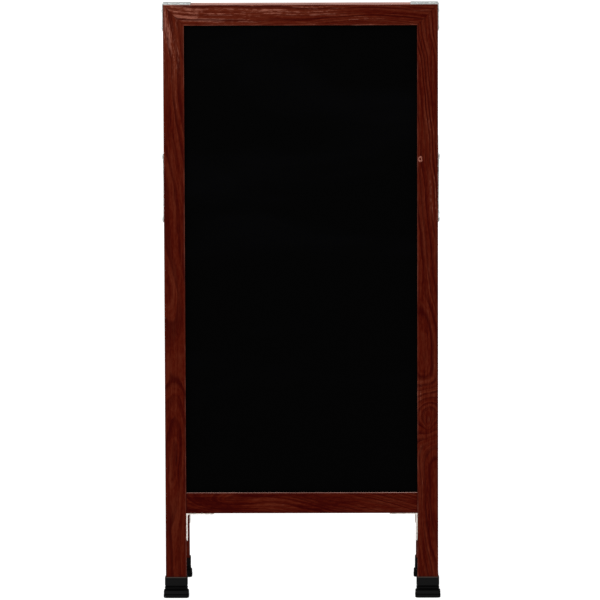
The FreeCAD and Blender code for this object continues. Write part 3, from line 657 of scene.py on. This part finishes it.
# A boot from under its sole, up its outside, over its rim and down inside, as (distance outside the leg,
# height above the floor, corner rounding) in millimetres.
BOOT_PROFILE = [
    (-6.0, 1.0, 3.0), (-5.4, 1.0, 3.0), (-5.0, 0.0, 3.2), (-2.4, 0.0, 3.6), (-2.0, 0.9, 3.8),
    (-0.8, 0.9, 4.2), (-0.4, 0.0, 4.4), (3.3, 0.0, 5.6), (3.9, 0.25, 6.0), (4.25, 0.8, 6.2),
    (4.3, 1.4, 6.3), (4.2, 3.5, 6.2), (4.4, 3.8, 6.3), (4.4, 4.5, 6.3), (4.15, 4.8, 6.2),
    (4.1, 6.0, 6.2), (3.5, 6.3, 5.8), (3.5, 6.9, 5.8), (4.05, 7.2, 6.2), (3.95, 11.4, 6.1),
    (3.75, 12.3, 6.0), (3.3, 12.85, 5.8), (2.7, 13.0, 5.2), (2.25, 13.2, 4.6), (2.1, 13.7, 4.3),
    (2.05, 14.2, 4.2), (0.9, 14.5, 3.4), (0.75, 14.8, 3.3), (0.75, 16.3, 3.3), (0.9, 16.6, 3.4),
    (1.95, 16.9, 4.1), (2.05, 17.4, 4.2), (2.05, 18.6, 4.2), (1.95, 19.1, 4.1), (0.9, 19.4, 3.4),
    (0.75, 19.8, 3.3), (0.75, 21.6, 3.3), (0.9, 21.9, 3.4), (1.85, 22.2, 4.1), (1.85, 30.0, 4.0),
    (1.75, 36.6, 3.9), (1.6, 37.3, 3.8), (1.2, 37.8, 3.4), (0.7, 37.95, 3.0), (0.25, 37.7, 2.5),
    (0.03, 37.2, 2.25), (0.03, 10.6, 2.25), (-0.5, 10.2, 2.0),
]
BOOT_HEIGHT = 38 * MM
SOLE_HEIGHT = 1.5 * MM  # up to here a boot is level with the floor
FOOT_HEIGHT = 13 * MM  # over which it turns to lie square to the leg


def rounded_rectangle(half_wide, half_deep, radius):
    """Points round a rectangle with rounded corners, about its own middle."""
    points = []
    for quarter, (side_x, side_y) in enumerate(((1, 1), (-1, 1), (-1, -1), (1, -1))):
        middle_x, middle_y = side_x * (half_wide - radius), side_y * (half_deep - radius)
        for step in range(CORNER_STEPS + 1):
            angle = math.pi / 2 * (quarter + step / CORNER_STEPS)
            points.append((middle_x + radius * math.cos(angle), middle_y + radius * math.sin(angle)))
    return points


def boot(end, hand, material):
    """A moulded boot: a flared foot flat on the floor, two grooves round its sleeve and a soft rim."""
    rim = upright_box(end, f"{hand}_boot")[1].z
    low, high = upright_box(end, f"{hand}_stile")
    middle, half = (low + high) / 2, (high - low) / 2
    standing_from_upright = upright_from_standing(end).inverted()
    rings = []
    for row in BOOT_PROFILE:
        outside, height, radius = (number * MM for number in row)
        levelled = min(max(1 - (height - SOLE_HEIGHT) / FOOT_HEIGHT, 0), 1)
        ring = []
        for x, y in rounded_rectangle(half.x + outside, half.y + outside, radius):
            spot = Vector((middle.x + x, middle.y + y, rim - BOOT_HEIGHT + height))
            spot = standing_from_upright @ spot
            ring.append(spot.lerp(Vector((spot.x, spot.y, height)), levelled))
        rings.append(ring)
    shape = bmesh.new()
    loft(shape, rings)
    name = f"{end}_{hand}_boot"
    piece = new_piece(f"{name}_moulding", shape, material)
    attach(piece, f"{end}_frame")
    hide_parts(name)


# ---------------------------------------------------------------- screws and rivets
HEAD_SEGMENTS = 56
HEAD_RINGS = 16
HEAD_REACH = 0.96  # of the radius, that the rings of a head's top cover
FLUSH_FIT = 0.965  # of a countersunk head's radius, which leaves a fine line round it
FLUSH_DROP = 0.1 * MM
FLUSH_CHAMFER = 0.04  # of the radius
FLUSH_BELOW = 0.1  # of the radius: a lower head is a flush one
DOME_SIDE, DOME_FOOT = 0.3, 0.22  # of a dome's height, where its top ends and where its side starts
POINT_LENGTH, POINT_WIDTH = 1.2, 0.25  # of the shank's radius
POINT_START = 0.7  # of the length, at the least
TURN_PER_MM = 0.6  # in radians; it sets each cross differently, by its screw's height
WELD_REACH = 0.001 * MM

# A cross recess on a head of radius 1: how far an arm reaches and how soon it ends, half its width, how that
# narrows outwards, how thick its sloping walls are, and how deep it is at the middle.
ARM_REACH, ARM_END = 0.60, 0.10
ARM_WIDTH, ARM_TAPER, ARM_WALL = 0.15, 0.06, 0.06
ARM_DEPTH = 0.55
RECESS_SCALE = 0.55


def loose_parts(end, node_name):
    """The vertices of each solid in a node, in its frame's upright coordinates."""
    shape = bmesh.new()
    shape.from_mesh(frame["nodes"][node_name].data)
    bmesh.ops.remove_doubles(shape, verts=shape.verts, dist=WELD_REACH)
    upright = upright_from_standing(end)
    left = dict.fromkeys(shape.verts)  # keeps its order from run to run, unlike a set
    parts = []
    while left:
        waiting = [left.popitem()[0]]
        part = []
        while waiting:
            vertex = waiting.pop()
            part.append(upright @ vertex.co)
            for edge in vertex.link_edges:
                other = edge.other_vert(vertex)
                if other in left:
                    del left[other]
                    waiting.append(other)
        parts.append(part)
    shape.free()
    return parts


def turning_axis(size):
    """Which of a turned part's three sizes is unlike the other two."""

    def unlikeness(axis):
        return min(abs(size[axis] - size[other]) for other in range(3) if other != axis)

    return max(range(3), key=unlikeness)


def measure_screw(points):
    """A turned part's seat and direction, then its head's and shank's radii, and their lengths."""
    low, high = (Vector(pick(point[axis] for point in points) for axis in range(3)) for pick in (min, max))
    size, middle = high - low, (low + high) / 2
    odd = turning_axis(size)
    across = [axis for axis in range(3) if axis != odd]
    radii = [math.hypot(*(point[axis] - middle[axis] for axis in across)) for point in points]
    head_radius = max(radii)
    rim = [point[odd] for point, radius in zip(points, radii) if radius > 0.97 * head_radius]
    lead = sum(rim) / len(rim) - middle[odd]
    if abs(lead) < 0.1 * size[odd]:
        lead = middle[odd]  # a short rivet, whose head is on the outer side
    facing = 1 if lead > 0 else -1
    seat = min(rim) if facing > 0 else max(rim)
    top, tip = (high[odd], low[odd]) if facing > 0 else (low[odd], high[odd])
    half_way = (seat + tip) / 2
    shank = [radius for point, radius in zip(points, radii) if (half_way - point[odd]) * facing > 0]
    direction = Vector([facing if axis == odd else 0 for axis in range(3)])
    middle[odd] = seat
    return middle, direction, head_radius, max(shank), abs(top - seat), abs(tip - seat)


def recess_depth(u, v):
    """How deep a cross recess is at a place on a head of radius 1: tapered arms with a deeper middle."""
    deepest = 0
    for along, aside in ((abs(u), abs(v)), (abs(v), abs(u))):
        width = ARM_WIDTH - ARM_TAPER * along
        inside = min(max((width - aside) / ARM_WALL, 0), 1)
        inside *= min(max((ARM_REACH - along) / ARM_END, 0), 1)
        deepest = max(deepest, inside * ARM_DEPTH * (1 - along))
    return deepest


def circle(reach):
    """Points evenly round a circle."""
    angles = [2 * math.pi * index / HEAD_SEGMENTS for index in range(HEAD_SEGMENTS)]
    return [(reach * math.cos(angle), reach * math.sin(angle)) for angle in angles]


def head_rings(radius, dome, crossed):
    """Rings over the top of a head, from near its middle. A flush head has no dome."""
    for step in range(1, HEAD_RINGS + 1):
        reach = HEAD_REACH * step / HEAD_RINGS
        top = dome * (DOME_SIDE + (1 - DOME_SIDE) * math.sqrt(1 - reach**2)) if dome else -FLUSH_DROP
        sunk = RECESS_SCALE * radius if crossed else 0
        yield [(u * radius, v * radius, top - sunk * recess_depth(u, v)) for u, v in circle(reach)]


def side_rings(radius, dome, shank, length):
    """Rings down the side of a head and its shank, to a blunt point."""
    if dome:
        steps = [(0.995 * radius, DOME_SIDE * dome), (radius, DOME_FOOT * dome), (radius, 0.0), (shank, 0.0)]
    else:
        steps = [(radius, -FLUSH_DROP - FLUSH_CHAMFER * radius), (shank, shank - radius)]
    point = min(POINT_LENGTH * shank - length, -POINT_START * length)
    steps += [(shank, point), (POINT_WIDTH * shank, -length)]
    for reach, level in steps:
        yield [(x, y, level) for x, y in circle(reach)]


def turned_part(shape, points, crossed):
    """Adds one screw or rivet in upright coordinates, sized from its CAD solid."""
    seat, direction, radius, shank, dome, length = measure_screw(points)
    if dome < FLUSH_BELOW * radius:
        radius, dome = radius * FLUSH_FIT, 0
    turn = direction.to_track_quat("Z", "X").to_matrix().to_4x4()
    turn = turn @ Matrix.Rotation(TURN_PER_MM * seat.z / MM, 4, "Z")
    place = Matrix.Translation(seat) @ turn
    rings = [*head_rings(radius, dome, crossed), *side_rings(radius, dome, shank, length)]
    loft(shape, [[place @ Vector(point) for point in ring] for ring in rings])


def turned_parts(end, node_name, body, crossed, material):
    """One piece for all the screws, pivots or rivets of a node."""
    shape = bmesh.new()
    for points in loose_parts(end, node_name):
        turned_part(shape, points, crossed)
    shape.transform(upright_from_standing(end).inverted())
    piece = new_piece(f"{node_name}_turned", shape, material)
    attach(piece, body)
    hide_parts(node_name)


SOFT_WELD = 0.002 * MM
SOFT_FLAT = math.radians(1)
SOFT_WIDTH = 0.22 * MM


def soften(node_name):
    """Rounds a pressed steel node's sharp edges with modifiers."""
    node = frame["nodes"][node_name]
    weld = node.modifiers.new("join", "WELD")
    weld.merge_threshold = SOFT_WELD
    flatten = node.modifiers.new("flatten", "DECIMATE")
    flatten.decimate_type, flatten.angle_limit = "DISSOLVE", SOFT_FLAT
    bevel = node.modifiers.new("soften", "BEVEL")
    bevel.width, bevel.segments = SOFT_WIDTH, 2
    bevel.limit_method, bevel.angle_limit = "ANGLE", SHARP
    bevel.harden_normals = True


# ---------------------------------------------------------------- studio
WHITE = (1, 1, 1, 1)
FLOOR_RADIUS, FLOOR_SEGMENTS = 40, 96
FLOOR_DROP = 0.2 * MM
FLOOR_GLOW = 0.93
PAPER_DARK, PAPER_LIGHT = (0.23,) * 3, (0.27,) * 3
SKY_HORIZON, SKY_ZENITH = 0.60, 0.95
SUN_PLACE, SUN_TARGET = Vector((-2, -3, 5)), Vector((0, 0, 0))
SUN_ENERGY, SUN_ANGLE = 1.0, math.radians(70)
SOFTBOX_PLACE, SOFTBOX_TARGET = Vector((-0.60, -0.50, 1.40)), Vector((-0.16, 0, 1.0))
SOFTBOX_ENERGY, SOFTBOX_SIZE = 1.6, 0.3


def add_floor():
    """A seamless pale floor that reaches past every view."""
    mesh = bpy.data.meshes.new("floor")
    shape = bmesh.new()
    bmesh.ops.create_circle(shape, cap_ends=True, segments=FLOOR_SEGMENTS, radius=FLOOR_RADIUS)
    shape.to_mesh(mesh)
    shape.free()
    floor = bpy.data.objects.new("floor", mesh)
    floor.location.z = -FLOOR_DROP
    bpy.context.scene.collection.objects.link(floor)
    material, graph, surface = new_material("floor_paper")
    grain = graph.noise(object_place(graph), 300, 1)
    paper = graph.ramp(grain, [(0, PAPER_DARK), (1, PAPER_LIGHT)])
    glow = {"Emission_Color": WHITE, "Emission_Strength": FLOOR_GLOW}
    finish_surface(graph, surface, paper, 0.9, Specular_IOR_Level=0.1, **glow)
    mesh.materials.append(material)
    floor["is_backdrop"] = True


def add_sky():
    """Soft white light from all round, a little stronger overhead."""
    world = bpy.data.worlds.new("sky")
    bpy.context.scene.world = world
    world.use_nodes = True
    graph = Graph(world.node_tree)
    background = next(node for node in world.node_tree.nodes if node.type == "BACKGROUND")
    height = graph.split(graph.node("ShaderNodeTexCoord").outputs["Generated"])[2]
    graph.put(background.inputs["Strength"], graph.smooth(height, 0.0, 0.9, SKY_HORIZON, SKY_ZENITH))
    background.inputs["Color"].default_value = WHITE


def add_lamp(name, kind, place, target, energy, **settings):
    """A lamp that looks from its place towards its target."""
    data = bpy.data.lights.new(name, kind)
    data.energy = energy
    for key, setting in settings.items():
        setattr(data, key, setting)
    lamp = bpy.data.objects.new(name, data)
    aim = (target - place).to_track_quat("-Z", "Y").to_matrix().to_4x4()
    lamp.matrix_world = Matrix.Translation(place) @ aim
    bpy.context.scene.collection.objects.link(lamp)


def add_studio():
    """A pale floor, a soft sky, a broad sun, and a small softbox over the board's left shoulder."""
    add_floor()
    add_sky()
    add_lamp("sun", "SUN", SUN_PLACE, SUN_TARGET, SUN_ENERGY, angle=SUN_ANGLE)
    window = {"shape": "RECTANGLE", "size": SOFTBOX_SIZE, "size_y": SOFTBOX_SIZE}
    add_lamp("softbox", "AREA", SOFTBOX_PLACE, SOFTBOX_TARGET, SOFTBOX_ENERGY, **window)
    bpy.context.scene.view_settings.view_transform = "Standard"


# ---------------------------------------------------------------- assembly
def paint_frames():
    """Gives wood and sheets their materials, on the CAD's meshes as they are."""
    coat, board, bare = chalkboard(), hardboard(), bare_hardwood()
    for end in ENDS:
        for member in CUTS:
            paint(f"{end}_{member}", oak(end, member))
        paint(f"{end}_writing_panel", coat)
        paint(f"{end}_backing_panel", board)
        paint(f"{end}_mitre_splines", bare)
        paint(f"{end}_rail_dowels", bare)


def finish_hardware():
    """Boots, screws and rivets are made anew, and pressed steel gets softer edges."""
    flat_steel = zinc("zinc_plate", ROLLED_CELLS, ZINC_TONES)
    # The braces get a brighter, warmer copy of the zinc: a painted highlight.
    lit_brace_steel = zinc("zinc_brace_painted_highlight", ROLLED_CELLS, LIT_BRACE_ZINC_TONES)
    turned_steel = zinc("zinc_turned", TURNED_CELLS, ZINC_TONES)
    black = rubber()
    for end in ENDS:
        for hand in HANDS:
            boot(end, hand, black)
        for name in ("corner_brace_screws", "hinge_screws"):
            turned_parts(end, f"{end}_{name}", f"{end}_frame", True, turned_steel)
        turned_parts(end, f"{end}_link_pivots", f"{end}_frame", False, turned_steel)
    for hand in HANDS:
        turned_parts("front", f"{hand}_knee_rivet", f"{hand}_rear_link", False, turned_steel)
    for name in frame["nodes"]:
        if "leaf" in name or name.endswith("_brace") or name.endswith("_link"):
            paint(name, lit_brace_steel if name.endswith("_brace") else flat_steel)
            soften(name)
        elif name.endswith("_pin") or name.endswith("_spacers"):
            paint(name, turned_steel)


add_camera()
add_studio()
paint_frames()
finish_hardware()

corners = {"cad": cad_box, "visual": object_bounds()}
{name: [list(corner) for corner in box] for name, box in corners.items()}
